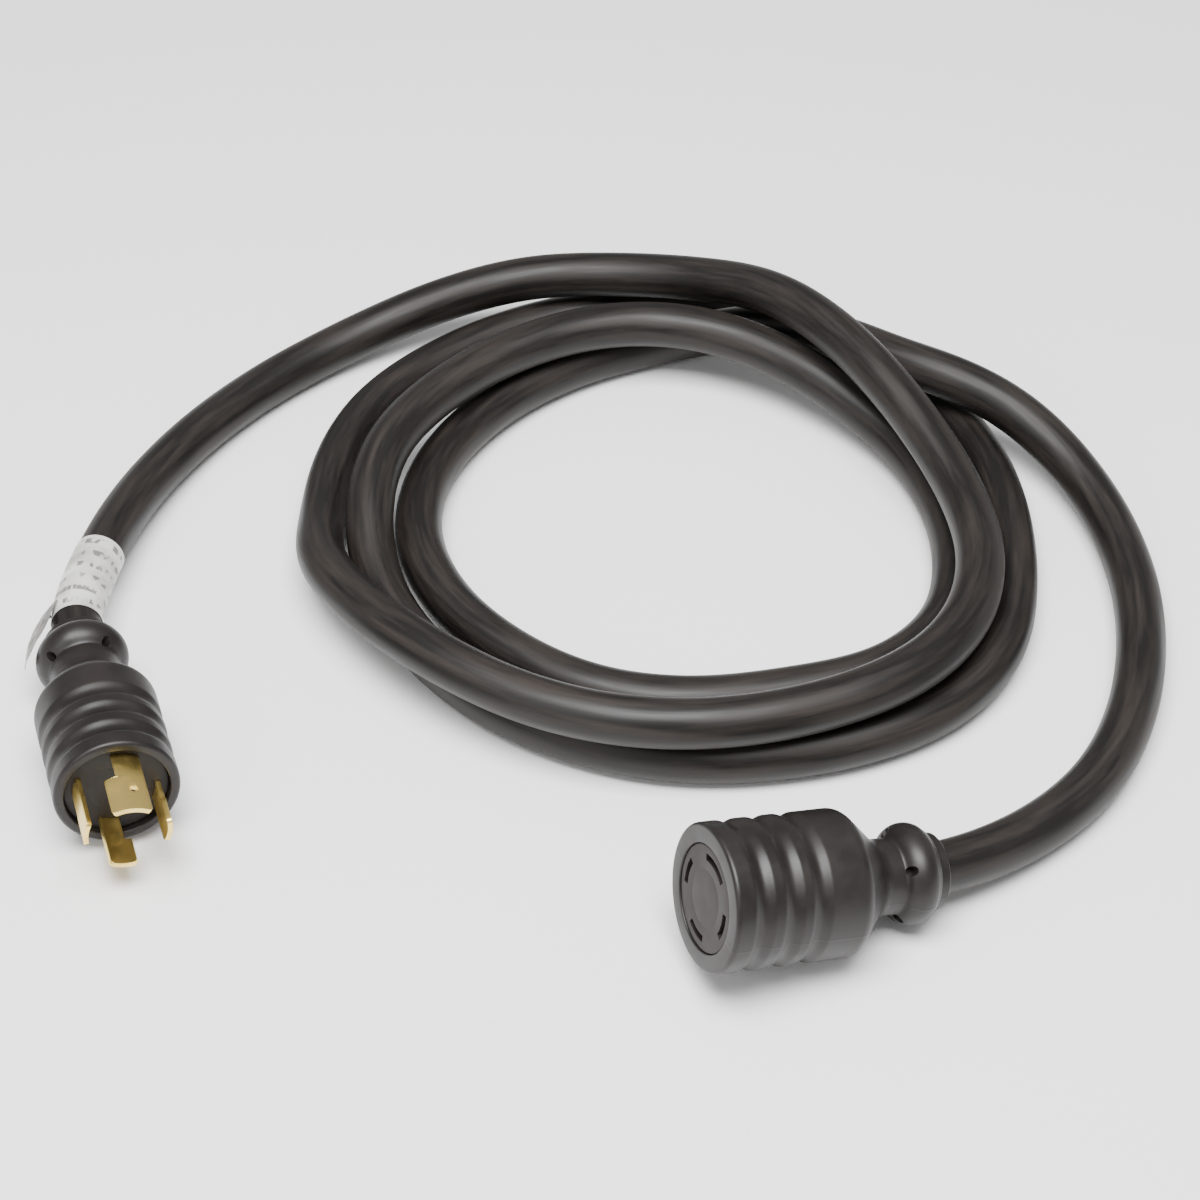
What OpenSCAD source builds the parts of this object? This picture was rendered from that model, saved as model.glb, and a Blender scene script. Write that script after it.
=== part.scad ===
// Shore power cord: a four-wire 30 A locking plug and a matching locking
// connector on one heavy round cable, lying in a loose three-turn coil.
// Each end is built as such ends are: a nylon bridge holds the blades or
// contacts, four insulated conductors are crimped to them, a pre-moulded
// core fixes the conductors, and a ribbed overmould closes round it all.
// Both ends are drawn about their own axis: z = 0 is the front rim, +z is
// the way the blades point and -z runs back to the cable.

/* [Cable] */
// Outside diameter of the round cable jacket
cable_d = 18; // [17.6:0.1:18]
// Number of flats round the cable's plain sweep
cable_sides = 12; // [8:1:12]

/* [Blades] */
// Diameter of the circle that the blades and the slots are bent to
blade_circle_d = 28; // [27:0.1:28.6]
// Thickness of one blade
blade_t = 1.7; // [1.5:0.1:1.9]
// Reach of the three shorter blades past the front rim
blade_reach = 21; // [18:0.5:22]
// Reach of the longer earthing blade past the front rim
earth_reach = 26; // [23:0.5:27]
// Extra width of each slot around a blade
slot_clearance = 0.5; // [0.4:0.1:0.8]

/* [Overmoulds] */
// Outside diameter of the plug's body
plug_d = 43; // [42:0.5:44]
// Outside diameter of the connector's body
connector_d = 49; // [48:0.5:50]
// Diameter of the plug's strain-relief collar
plug_collar_d = 33; // [32:0.5:34]
// Diameter of the connector's strain-relief collar
connector_collar_d = 34; // [33:0.5:34.5]
// Diameter of the waist between body and collar
waist_d = 25.4; // [25:0.2:27]
// Depth of the grip grooves
groove_depth = 1.2; // [0.8:0.1:1.4]
// Radius of the rounded front rim
rim_round = 1.5; // [1:0.1:2.5]
// How far the plug's bridge sits behind its front rim
plug_recess = 2.5; // [1:0.1:3]
// How far the connector's bridge sits behind its front rim
connector_recess = 0.5; // [0.3:0.1:1]

/* [Placing] */
// Turn of the plug about the vertical, from +X
plug_heading = -72.5; // [-74:0.5:-71]
// Nose-up tilt of the plug as it lies
plug_tilt = 4; // [3:0.5:5]
// Turn of the plug's blades about its own axis
plug_roll = -18; // [-180:1:180]
// Turn of the connector about the vertical, from +X
connector_heading = -159.5; // [-161:0.5:-158]
// Nose-up tilt of the connector as it lies
connector_tilt = 12.5; // [12:0.5:13]
// Turn of the connector's slots about its own axis
connector_roll = 8; // [-180:1:180]

/* [Hidden] */
$fn = 72;

// Lengths along both ends, measured back from the front rim
end_length = 84;
plug_body_back = 43.5;
connector_body_back = 46;
shoulder_run = 14;        // from a body's back to its waist
shoulder_round = 5;       // radius where the body turns into its shoulder
collar_mid = 74;
collar_hole_r = 1.6;      // blind holes left by the mould's centring pins
collar_hole_at = 68.5;
collar_hole_floor = 11;   // their floors' distance from the axis
collar_round = 7;         // radius of the collar's rounded edge
lip_step = 4.5;           // lip's radius below the collar's
groove_at = [10, 20.5, 30.5];
groove_w = 4;
core_front = 9;           // back of a bridge and front of a core
core_back = 47;
core_r = 16.5;
stub_front = 60;          // where the jacket is cut back inside an end
wire_r = 2.6;             // insulated conductor
wire_circle_r = 9.5;      // conductors' circle inside the core
lay_circle_r = 4.1;       // conductors' circle inside the cable
barrel_r = 3.2;
barrel_front = core_front;
barrel_back = core_front + 11;
gap = 0.15;               // clearance between separate inner pieces

blade_r = blade_circle_d / 2;
bridge_r = blade_r + 4;
hook_start = 9;           // a blade stays narrow this far past the rim
foot_t = 1.5;             // foot by which a blade meets its barrel
foot_half = 9;            // half its arc, in degrees

// The four poles: earth, X, neutral and Y. Angles run counter-clockwise as
// seen from the front of each end, and the connector's mirror the plug's.
PLUG_POLE = [90, 180, 270, 0];
CONNECTOR_POLE = [90, 0, -90, 180];
ROOT = [38, 29, 29, 29];  // arc of each blade's root, in degrees
HOOK = [16, 10, 10, 10];  // extra arc of its locking hook
WIRE_COLOR = ["green", "black", "white", "red"];

// Height of an end's front rim when the edge of its shoulder rests on z = 0
function rim_height(body_r, back, tilt) = back * sin(tilt)
    + (body_r - shoulder_round) * cos(tilt) + shoulder_round;
plug_rim = [-119, -2.5, rim_height(plug_d / 2, plug_body_back, plug_tilt)];
connector_rim = [76, -58.5,
                 rim_height(connector_d / 2, connector_body_back, connector_tilt)];

function heading(turn, tilt) = [cos(turn) * cos(tilt), sin(turn) * cos(tilt), sin(tilt)];
plug_exit = plug_rim - end_length * heading(plug_heading, plug_tilt);
connector_exit = connector_rim - end_length * heading(connector_heading, connector_tilt);

// Route of the cable's centre between the two exits. Its lowest turns lie
// on z = 0 and the upper ones ride a cable diameter above them. The shift
// puts the origin midway between the two ends.
route_shift = [-1, 3.5, 0];
PLUG_TAIL = [
    [-146, 84, 18], [-143, 126, 15], [-135, 162, 12], [-119, 199, 10],
    [-94, 235, 9], [-60, 265, 11], [-22, 281, 20]];
FIRST_TURN = [
    [14, 286, 28], [50, 287, 29], [83, 277, 34], [112, 257, 42], [134, 231, 44],
    [152, 204, 41], [168, 177, 34], [180, 147, 28], [184, 112, 27], [176, 79, 27],
    [155, 51, 28], [123, 33, 28], [87, 24, 28], [51, 25, 28], [18, 36, 28],
    [-12, 56, 28], [-39, 84, 25], [-59, 118, 19], [-62, 154, 9.6], [-59, 190, 9],
    [-47, 224, 9], [-24, 252, 9], [7, 275, 9], [40, 288, 9]];
SECOND_TURN = [
    [76, 294, 9], [110, 288, 9], [140, 271, 9], [165, 247, 9], [184, 218, 9],
    [196, 186, 9], [200, 152, 9], [198, 116, 9], [190, 82, 9], [170, 54, 9],
    [140, 36, 9], [105, 27, 9], [70, 26, 9], [36, 35, 9], [4, 54, 9],
    [-21, 82, 9], [-38, 115, 10.3], [-43.5, 148, 19], [-37.5, 182, 25], [-17, 213, 27],
    [12, 238, 28]];
THIRD_TURN = [
    [46, 253, 28], [82, 253, 27], [115, 239, 24], [143, 217, 18], [164, 193, 12],
    [176, 161, 9], [178, 127, 9], [170, 95, 9], [146, 70, 9], [111, 59, 9],
    [76, 54, 9], [42, 60, 9], [12, 79, 9], [-12, 107, 9], [-25, 142, 9],
    [-23, 178, 9], [-8, 211, 9], [18, 240, 9], [51, 260, 9]];
CONNECTOR_TAIL = [
    [84, 268, 12], [112, 264, 20], [138, 248, 27], [161, 228, 30], [184, 215, 30],
    [207, 202, 24], [226, 182, 15], [238, 154, 10], [243, 120, 9], [241, 84, 9],
    [232, 47, 9], [215, 14, 9], [187, -13, 10]];
LOOSE = concat(PLUG_TAIL, FIRST_TURN, SECOND_TURN, THIRD_TURN, CONNECTOR_TAIL);
ROUTE = concat([plug_exit], [for (p = LOOSE) p + route_shift], [connector_exit]);

// ---- Sweeping a round section along a route ----

function unit(v) = v / norm(v);

// Direction at one point: along the end's own axis at an exit, otherwise
// half-way between the stretch before it and the stretch after it
function run(route, i) =
    i == 0 ? -heading(plug_heading, plug_tilt)
    : i == len(route) - 1 ? heading(connector_heading, connector_tilt)
    : unit(unit(route[i] - route[i - 1]) + unit(route[i + 1] - route[i]));

// One ring of points square to the run, with its first point level
function ring(centre, dir, r, sides) =
    let (side = unit(cross([0, 0, 1], dir)), top = cross(dir, side))
    [for (k = [0 : sides - 1])
        centre + r * (cos(360 * k / sides) * side + sin(360 * k / sides) * top)];

// Rings on some of a route's points, closed at both ends
module sweep(route, first, last, r, sides) {
    rings = last - first + 1;
    skin = [for (i = [first : last]) each ring(route[i], run(route, i), r, sides)];
    walls = [for (i = [0 : rings - 2], k = [0 : sides - 1])
        let (n = (k + 1) % sides, a = i * sides, b = a + sides)
        each [[a + k, b + k, b + n], [a + k, b + n, a + n]]];
    front = [for (k = [0 : sides - 1]) k];
    back = [for (k = [sides - 1 : -1 : 0]) (rings - 1) * sides + k];
    polyhedron(points = skin, faces = concat(walls, [front, back]), convexity = 10);
}

// ---- Shapes that both ends share ----

// Moves an end from its own axis to where it lies
module lay_down(rim, turn, tilt)
    translate(rim) rotate([0, 0, turn]) rotate([0, -tilt, 0]) rotate([90, 0, 90]) children();

module as_plug(roll = plug_roll) lay_down(plug_rim, plug_heading, plug_tilt)
    rotate([0, 0, roll]) children();

module as_connector(roll = connector_roll)
    lay_down(connector_rim, connector_heading, connector_tilt)
        rotate([0, 0, roll]) children();

// A block bent to a circle, from one angle to another and one depth to another
module bent_block(r, t, from, to, low, high)
    rotate([0, 0, from]) rotate_extrude(angle = to - from)
        translate([r - t / 2, low]) square([t, high - low]);

// Half outline of an overmould: rim, body, shoulder, waist and collar
module overmould_outline(body_r, back, collar_r) {
    waist_r = waist_d / 2;
    // body with its rounded front rim
    translate([0, -back]) square([body_r, back - rim_round]);
    translate([0, -rim_round]) square([body_r - rim_round, rim_round]);
    translate([body_r - rim_round, -rim_round]) circle(r = rim_round);
    // shoulder, rounded and then tapering to the waist
    hull() {
        translate([0, -back]) square([1, 1]);
        translate([body_r - shoulder_round, -back]) circle(r = shoulder_round);
        translate([0, -back - shoulder_run]) square([waist_r, 1]);
    }
    // waist and the round collar, then the lip that the cable leaves through
    translate([0, -collar_mid]) square([waist_r, collar_mid - back]);
    translate([collar_r - collar_round, -collar_mid]) circle(r = collar_round);
    translate([0, -collar_mid - collar_round])
        square([collar_r - collar_round, 2 * collar_round]);
    translate([0, -end_length]) square([collar_r - lip_step, end_length - collar_mid]);
}

module overmould(body_r, back, collar_r) {
    cable_r = cable_d / 2;
    difference() {
        rotate_extrude() intersection() {
            overmould_outline(body_r, back, collar_r);
            translate([0, -end_length]) square([body_r, end_length]);
        }
        // grip grooves round the body
        for (at = groove_at) translate([0, 0, -at]) rotate_extrude()
            translate([body_r + groove_w - groove_depth, 0]) circle(r = groove_w);
        // pocket for the bridge, open at the front
        translate([0, 0, -core_front]) cylinder(r = bridge_r, h = core_front + 1);
        // pocket for the core, then room for the wires, then the cable bore
        translate([0, 0, -core_back]) cylinder(r = core_r, h = core_back - core_front + 0.01);
        translate([0, 0, -stub_front - 0.01])
            cylinder(r1 = cable_r, r2 = core_r, h = stub_front - core_back + 0.02);
        translate([0, 0, -end_length - 1]) cylinder(r = cable_r, h = end_length - stub_front + 1);
        // blind holes round the collar
        for (a = [50 : 90 : 320]) rotate([0, 0, a])
            translate([collar_hole_floor, 0, -collar_hole_at]) rotate([0, 90, 0])
                cylinder(r = collar_hole_r, h = collar_r - collar_hole_floor);
    }
}

// Rigid core with a pocket for each crimp barrel and a hole for each wire
module core() difference() {
    translate([0, 0, -core_back]) cylinder(r = core_r, h = core_back - core_front);
    for (a = [0 : 90 : 270]) rotate([0, 0, a]) translate([wire_circle_r, 0, 0]) {
        translate([0, 0, -core_back - 1]) cylinder(r = wire_r + gap, h = core_back);
        translate([0, 0, -barrel_back - gap])
            cylinder(r = barrel_r + gap, h = barrel_back + gap);
    }
}

module crimp_barrels() for (a = [0 : 90 : 270]) rotate([0, 0, a]) difference() {
    translate([wire_circle_r, 0, -barrel_back]) cylinder(r = barrel_r, h = barrel_back - barrel_front);
    translate([wire_circle_r, 0, -barrel_back - 1])
        cylinder(r = wire_r, h = barrel_back - barrel_front - 1);
}

// Insulated wire from its barrel through the core and down to the cable
module wire(a) rotate([0, 0, a]) {
    slope = wire_circle_r - lay_circle_r;
    drop = stub_front - core_back;
    lean = atan(slope / drop);
    run = sqrt(slope * slope + drop * drop);
    translate([wire_circle_r, 0, -core_back])
        cylinder(r = wire_r, h = core_back - barrel_front - 2);
    translate([wire_circle_r, 0, -core_back]) sphere(r = wire_r);
    translate([wire_circle_r, 0, -core_back]) rotate([0, 180 + lean, 0])
        cylinder(r = wire_r, h = run);
    translate([lay_circle_r, 0, -stub_front]) sphere(r = wire_r);
    translate([lay_circle_r, 0, -end_length + 1])
        cylinder(r = wire_r, h = end_length - stub_front - 1);
}

// The last of the jacket, moulded into the neck, with its four cores bored
module cable_end() difference() {
    translate([0, 0, -end_length]) cylinder(r = cable_d / 2, h = end_length - stub_front);
    for (a = [0 : 90 : 270]) rotate([0, 0, a]) translate([lay_circle_r, 0, -end_length + 1])
        cylinder(r = wire_r, h = end_length);
}

// ---- Plug ----

// What of a blade sits in the bridge: its root and the foot on its barrel
module blade_root(i) {
    a = PLUG_POLE[i];
    half = ROOT[i] / 2;
    bent_block(blade_r, blade_t, a - half, a + half, -core_front, 1);
    bent_block(blade_r - barrel_r, 2 * barrel_r, a - foot_half, a + foot_half,
               -core_front, -core_front + foot_t);
}

// One blade, with a hook at its tip that turns behind the socket's contact;
// the earthing blade has a small hole
module blade(i) {
    a = PLUG_POLE[i];
    half = ROOT[i] / 2;
    reach = i == 0 ? earth_reach : blade_reach;
    difference() {
        bent_block(blade_r, blade_t, a - half, a + half + HOOK[i], -core_front, reach);
        bent_block(blade_r, 3 * blade_t, a + half, a + half + HOOK[i] + 5,
                   -core_front - 1, hook_start);
        if (i == 0) rotate([0, 0, a]) translate([blade_r - 2, 0, reach * 0.6])
            rotate([0, 90, 0]) cylinder(r = 1.5, h = 4);
    }
    bent_block(blade_r - barrel_r, 2 * barrel_r, a - foot_half, a + foot_half,
               -core_front, -core_front + foot_t);
}

module plug_overmould() color("#35312e") as_plug(0) overmould(plug_d / 2, plug_body_back, plug_collar_d / 2);
module plug_core() color("#4a4642") as_plug() core();
module plug_bridge() color("#2a2724") as_plug() difference() {
    translate([0, 0, -core_front]) cylinder(r = bridge_r, h = core_front - plug_recess);
    for (i = [0 : 3]) blade_root(i);
}
module plug_blade_earth() color("#c8a45a") as_plug() blade(0);
module plug_blade_x() color("#c8a45a") as_plug() blade(1);
module plug_blade_neutral() color("#c8a45a") as_plug() blade(2);
module plug_blade_y() color("#c8a45a") as_plug() blade(3);
module plug_crimp_barrels() color("#b9b4aa") as_plug() crimp_barrels();
module plug_wire_green() color(WIRE_COLOR[0]) as_plug() wire(PLUG_POLE[0]);
module plug_wire_black() color(WIRE_COLOR[1]) as_plug() wire(PLUG_POLE[1]);
module plug_wire_white() color(WIRE_COLOR[2]) as_plug() wire(PLUG_POLE[2]);
module plug_wire_red() color(WIRE_COLOR[3]) as_plug() wire(PLUG_POLE[3]);
module plug_cable_end() color("#262423") as_plug() cable_end();

// ---- Connector ----

leaf_t = 0.8;             // spring leaf of a contact
leaf_front = 3.5;         // leaves start this far behind the rim
leaf_inset = 3;           // and this many degrees inside the slot's ends
contact_back = core_front - leaf_t;

// A slot takes a blade with its hook, which lies the other way round here
module slot(i, depth) {
    a = CONNECTOR_POLE[i];
    half = ROOT[i] / 2;
    bent_block(blade_r, blade_t + slot_clearance, a - half - HOOK[i], a + half, -depth, 1);
}

// Two spring leaves that grip a blade, joined across the back
module contact(i) {
    span = ROOT[i] / 2 - leaf_inset;
    from = CONNECTOR_POLE[i] - span;
    to = CONNECTOR_POLE[i] + span;
    leaf_r = (blade_t + slot_clearance + leaf_t) / 2;
    for (s = [-1, 1])
        bent_block(blade_r + s * leaf_r, leaf_t, from, to, -contact_back, -leaf_front);
    bent_block(blade_r, blade_t + slot_clearance + 2 * leaf_t, from, to,
               -core_front, -contact_back);
}

module connector_overmould()
    color("#35312e") as_connector(0)
        overmould(connector_d / 2, connector_body_back, connector_collar_d / 2);
module connector_core() color("#4a4642") as_connector() core();
module connector_bridge() color("#3d352f") as_connector() difference() {
    translate([0, 0, -core_front]) cylinder(r = bridge_r, h = core_front - connector_recess);
    for (i = [0 : 3]) {
        span = ROOT[i] / 2 - leaf_inset;
        slot(i, core_front - 1);
        bent_block(blade_r, blade_t + slot_clearance + 2 * leaf_t, CONNECTOR_POLE[i] - span,
                   CONNECTOR_POLE[i] + span, -core_front - 1, -leaf_front);
    }
}
module connector_contact_earth() color("#b8935a") as_connector() contact(0);
module connector_contact_x() color("#b8935a") as_connector() contact(1);
module connector_contact_neutral() color("#b8935a") as_connector() contact(2);
module connector_contact_y() color("#b8935a") as_connector() contact(3);
module connector_crimp_barrels() color("#b9b4aa") as_connector() crimp_barrels();
module connector_wire_green() color(WIRE_COLOR[0]) as_connector() wire(CONNECTOR_POLE[0]);
module connector_wire_black() color(WIRE_COLOR[1]) as_connector() wire(CONNECTOR_POLE[1]);
module connector_wire_white() color(WIRE_COLOR[2]) as_connector() wire(CONNECTOR_POLE[2]);
module connector_wire_red() color(WIRE_COLOR[3]) as_connector() wire(CONNECTOR_POLE[3]);
module connector_cable_end() color("#262423") as_connector() cable_end();

// ---- Cable ----

module cable() color("#262423") sweep(ROUTE, 0, len(ROUTE) - 1, cable_d / 2, cable_sides);

// Blank film wrapped round the cable behind the plug
label_first = 1;
label_last = 2;
label_t = 0.3;
module cable_label() color("#e8e6e0") difference() {
    sweep(ROUTE, label_first, label_last, cable_d / 2 + label_t, cable_sides);
    sweep(ROUTE, label_first - 1, label_last + 1, cable_d / 2, cable_sides);
}

cable();
cable_label();
plug_overmould();
plug_core();
plug_bridge();
plug_blade_earth();
plug_blade_x();
plug_blade_neutral();
plug_blade_y();
plug_crimp_barrels();
plug_wire_green();
plug_wire_black();
plug_wire_white();
plug_wire_red();
plug_cable_end();
connector_overmould();
connector_core();
connector_bridge();
connector_contact_earth();
connector_contact_x();
connector_contact_neutral();
connector_contact_y();
connector_crimp_barrels();
connector_wire_green();
connector_wire_black();
connector_wire_white();
connector_wire_red();
connector_cable_end();
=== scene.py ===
"""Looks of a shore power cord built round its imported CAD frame.

Sizes are in millimetres until they go into a mesh. Each end is shaped about
its own axis, as in the CAD: z = 0 is the front rim, +z the way the blades
point, +y up and +x to the right as seen from the front.
"""

import math

import bmesh
import bpy
from mathutils import Matrix, Vector


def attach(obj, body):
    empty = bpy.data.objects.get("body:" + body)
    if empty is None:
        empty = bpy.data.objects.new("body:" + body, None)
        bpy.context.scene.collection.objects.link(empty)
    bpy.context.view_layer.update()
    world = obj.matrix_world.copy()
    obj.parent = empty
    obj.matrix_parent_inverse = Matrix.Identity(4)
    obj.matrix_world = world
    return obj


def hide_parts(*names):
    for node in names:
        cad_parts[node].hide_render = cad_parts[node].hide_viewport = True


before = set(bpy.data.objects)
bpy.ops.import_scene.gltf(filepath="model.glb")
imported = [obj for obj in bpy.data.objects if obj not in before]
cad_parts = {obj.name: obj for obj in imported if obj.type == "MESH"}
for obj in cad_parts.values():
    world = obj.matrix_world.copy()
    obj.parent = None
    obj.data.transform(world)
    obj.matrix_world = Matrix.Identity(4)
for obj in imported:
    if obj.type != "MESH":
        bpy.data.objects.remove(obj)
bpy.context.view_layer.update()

MM = 0.001
TAU = 2 * math.pi

# ---- Sizes shared with the CAD ----

END_LENGTH = 84
PLUG_BODY_BACK = 43.5
CONNECTOR_BODY_BACK = 46
SHOULDER_RUN = 14
SHOULDER_ROUND = 5
WAIST_R = 12.7
COLLAR_MID = 74
COLLAR_ROUND = 7
COLLAR_HOLE_AT = 68.5
COLLAR_HOLE_R = 1.6
COLLAR_HOLE_FLOOR = 11
COLLAR_HOLE_FIRST = 50  # degrees; the four holes are at right angles
LIP_STEP = 4.5
CABLE_R = 9
PLUG_RECESS = 2.5
CONNECTOR_RECESS = 0.5
BRIDGE_BACK = 9
BRIDGE_R = 18
BRIDGE_FIT = 0.04
CORE_R = 16.5
CORE_BACK = 47
STUB_FRONT = 60
GROOVES = (10, 20.5, 30.5)
GROOVE_DEPTH = 1.2
GROOVE_REACH = 3.6
RIM_ROUND = 1.5
BLADE_R = 14
BLADE_T = 1.7
SLOT_GAP = 0.5
HOOK_START = 9
PLUG_POLES = (90, 180, 270, 0)
CONNECTOR_POLES = (90, 0, -90, 180)
ROOTS = (38, 29, 29, 29)
HOOKS = (16, 10, 10, 10)
REACHES = (26, 21, 21, 21)
EARTH_HOLE_R = 1.5
POLE_NAMES = ("earth", "x", "neutral", "y")


def placed(rim, turn, tilt):
    """Matrix from an end's own axis to where the end lies."""
    return (
        Matrix.Translation(Vector(rim))
        @ Matrix.Rotation(math.radians(turn), 4, "Z")
        @ Matrix.Rotation(math.radians(-tilt), 4, "Y")
        @ Matrix.Rotation(math.radians(90), 4, "Z")
        @ Matrix.Rotation(math.radians(90), 4, "X")
    )


def rim_height(body_r, back, tilt):
    """Height of an end's front rim when the edge of its shoulder rests on z = 0."""
    t = math.radians(tilt)
    return (back * math.sin(t) + (body_r - SHOULDER_ROUND) * math.cos(t)
            + SHOULDER_ROUND)


PLUG_BODY_R, PLUG_COLLAR_R = 21.5, 16.5
PLUG_HEADING, PLUG_TILT, PLUG_ROLL = -72.5, 4, -18
PLUG = placed((-119, -2.5, rim_height(PLUG_BODY_R, PLUG_BODY_BACK, PLUG_TILT)),
              PLUG_HEADING, PLUG_TILT)
PLUG_POLES_PLACE = PLUG @ Matrix.Rotation(math.radians(PLUG_ROLL), 4, "Z")

CONNECTOR_BODY_R, CONNECTOR_COLLAR_R = 24.5, 17.0
CONNECTOR_HEADING, CONNECTOR_TILT, CONNECTOR_ROLL = -159.5, 12.5, 8
CONNECTOR = placed(
    (76, -58.5, rim_height(CONNECTOR_BODY_R, CONNECTOR_BODY_BACK, CONNECTOR_TILT)),
    CONNECTOR_HEADING, CONNECTOR_TILT)
CONNECTOR_POLES_PLACE = CONNECTOR @ Matrix.Rotation(math.radians(CONNECTOR_ROLL), 4, "Z")


# ---- Meshes ----

def mesh_object(name, verts, faces, smooth_angle=35, attributes=None):
    """A closed mesh in the row frame from points in millimetres."""
    mesh = bpy.data.meshes.new(name)
    mesh.from_pydata([Vector(v) * MM for v in verts], [], faces)
    for key, values in (attributes or {}).items():
        layer = mesh.attributes.new(key, "FLOAT_VECTOR", "POINT")
        layer.data.foreach_set("vector", [c for v in values for c in v])
    bm = bmesh.new()
    bm.from_mesh(mesh)
    bmesh.ops.recalc_face_normals(bm, faces=bm.faces)
    bm.to_mesh(mesh)
    bm.free()
    obj = bpy.data.objects.new(name, mesh)
    bpy.context.collection.objects.link(obj)
    soften(obj, smooth_angle)
    return obj


def soften(obj, angle):
    obj.data.shade_smooth()
    obj.data.set_sharp_from_angle(angle=math.radians(angle))


def bake(obj):
    """Turns an object with modifiers into a plain mesh."""
    graph = bpy.context.evaluated_depsgraph_get()
    mesh = bpy.data.meshes.new_from_object(obj.evaluated_get(graph), depsgraph=graph)
    name = obj.name
    obj.modifiers.clear()
    if obj.type == "MESH":
        obj.data = mesh
        return obj
    bpy.data.objects.remove(obj)
    plain = bpy.data.objects.new(name, mesh)
    bpy.context.collection.objects.link(plain)
    return plain


def lathe(name, profile, place):
    """Closed loop of (radius, z) points turned about the end's axis."""
    around = 144
    verts, own, faces = [], [], []
    for k in range(around):
        c, s = math.cos(TAU * k / around), math.sin(TAU * k / around)
        for r, z in profile:
            p = Vector((r * c, r * s, z))
            own.append(p * MM)
            verts.append(place @ p)
    n = len(profile)
    for k in range(around):
        a, b = k * n, (k + 1) % around * n
        for i in range(n):
            j = (i + 1) % n
            faces.append((a + i, a + j, b + j, b + i))
    return mesh_object(name, verts, faces, attributes={"own": own})


def disc(name, profile, place):
    """Open run of (radius, z) points from axis to axis, turned and closed."""
    around = 96
    verts = [Vector((0, 0, profile[0][1])), Vector((0, 0, profile[-1][1]))]
    inner = profile[1:-1]
    n = len(inner)
    for k in range(around):
        c, s = math.cos(TAU * k / around), math.sin(TAU * k / around)
        verts += [Vector((r * c, r * s, z)) for r, z in inner]
    faces = []
    for k in range(around):
        a, b = 2 + k * n, 2 + (k + 1) % around * n
        faces += [(0, a, b), (1, b + n - 1, a + n - 1)]
        faces += [(a + i, a + i + 1, b + i + 1, b + i) for i in range(n - 1)]
    own = [v * MM for v in verts]
    return mesh_object(name, [place @ v for v in verts], faces, attributes={"own": own})


def bent_plate(name, rows, t, columns, place):
    """A plate bent to the blade circle. Each row is (z, from, to) in degrees."""
    verts = []
    for z, a0, a1 in rows:
        for side in (-1, 1):
            r = BLADE_R + side * t / 2
            for c in range(columns + 1):
                a = math.radians(a0 + (a1 - a0) * c / columns)
                verts.append(Vector((r * math.cos(a), r * math.sin(a), z)))
    w = columns + 1
    faces = []
    for j in range(len(rows) - 1):
        lo, hi = j * 2 * w, (j + 1) * 2 * w
        for c in range(columns):
            faces.append((lo + c, lo + c + 1, hi + c + 1, hi + c))
            faces.append((lo + w + c, hi + w + c, hi + w + c + 1, lo + w + c + 1))
        faces.append((lo, hi, hi + w, lo + w))
        faces.append((lo + columns, lo + w + columns, hi + w + columns, hi + columns))
    last = (len(rows) - 1) * 2 * w
    for c in range(columns):
        faces.append((c, w + c, w + c + 1, c + 1))
        faces.append((last + c, last + c + 1, last + w + c + 1, last + w + c))
    own = [v * MM for v in verts]
    return mesh_object(name, [place @ v for v in verts], faces, 30, {"own": own})


def rod(name, start, end, r):
    """A plain cylinder between two points, in millimetres."""
    sides = 32
    axis = end - start
    turn = axis.to_track_quat("Z", "Y").to_matrix()
    verts = []
    for z in (0, axis.length):
        for k in range(sides):
            a = TAU * k / sides
            verts.append(start + turn @ Vector((r * math.cos(a), r * math.sin(a), z)))
    faces = [(k, (k + 1) % sides, sides + (k + 1) % sides, sides + k) for k in range(sides)]
    faces += [tuple(reversed(range(sides))), tuple(range(sides, 2 * sides))]
    return mesh_object(name, verts, faces)


def cut(obj, tools):
    """Takes each tool out of the object, then drops the tool."""
    for tool in tools:
        change = obj.modifiers.new("cut", "BOOLEAN")
        change.operation = "DIFFERENCE"
        change.solver = "EXACT"
        change.object = tool
    bake(obj)
    for tool in tools:
        bpy.data.objects.remove(tool)


def bevel(obj, width, segments, angle):
    """Rounds the edges that are sharper than the angle."""
    edge = obj.modifiers.new("edge", "BEVEL")
    edge.width = width * MM
    edge.segments = segments
    edge.limit_method = "ANGLE"
    edge.angle_limit = math.radians(angle)
    bake(obj)
    soften(obj, 50)


# ---- Overmoulds ----

def smooth_max(a, b, k):
    """The larger of two values, blended where they differ by less than k."""
    h = max(k - abs(a - b), 0) / k
    return max(a, b) + h * h * k / 4


def shoulder_at(z, body_r, back):
    """Radius of the body's rounded back edge and of the taper behind it."""
    past = z - back
    centre = body_r - SHOULDER_ROUND
    drop = centre - WAIST_R
    lean = (math.atan2(drop, SHOULDER_RUN)
            + math.asin(SHOULDER_ROUND / math.hypot(SHOULDER_RUN, drop)))
    if past < SHOULDER_ROUND * math.sin(lean):
        return centre + math.sqrt(SHOULDER_ROUND ** 2 - past ** 2)
    return WAIST_R + (SHOULDER_RUN - past) * math.tan(lean)


WAIST_BLEND, COLLAR_BLEND, LIP_BLEND = 2.5, 1.2, 0.6
RING_AT, RING_REACH, RING_DEPTH = 78.2, 0.9, 0.35


def dip(z, at, reach):
    """1 at a groove's middle, falling to 0 at its edges."""
    d = abs(z - at)
    return 0.5 + 0.5 * math.cos(math.pi * d / reach) if d < reach else 0


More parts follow.
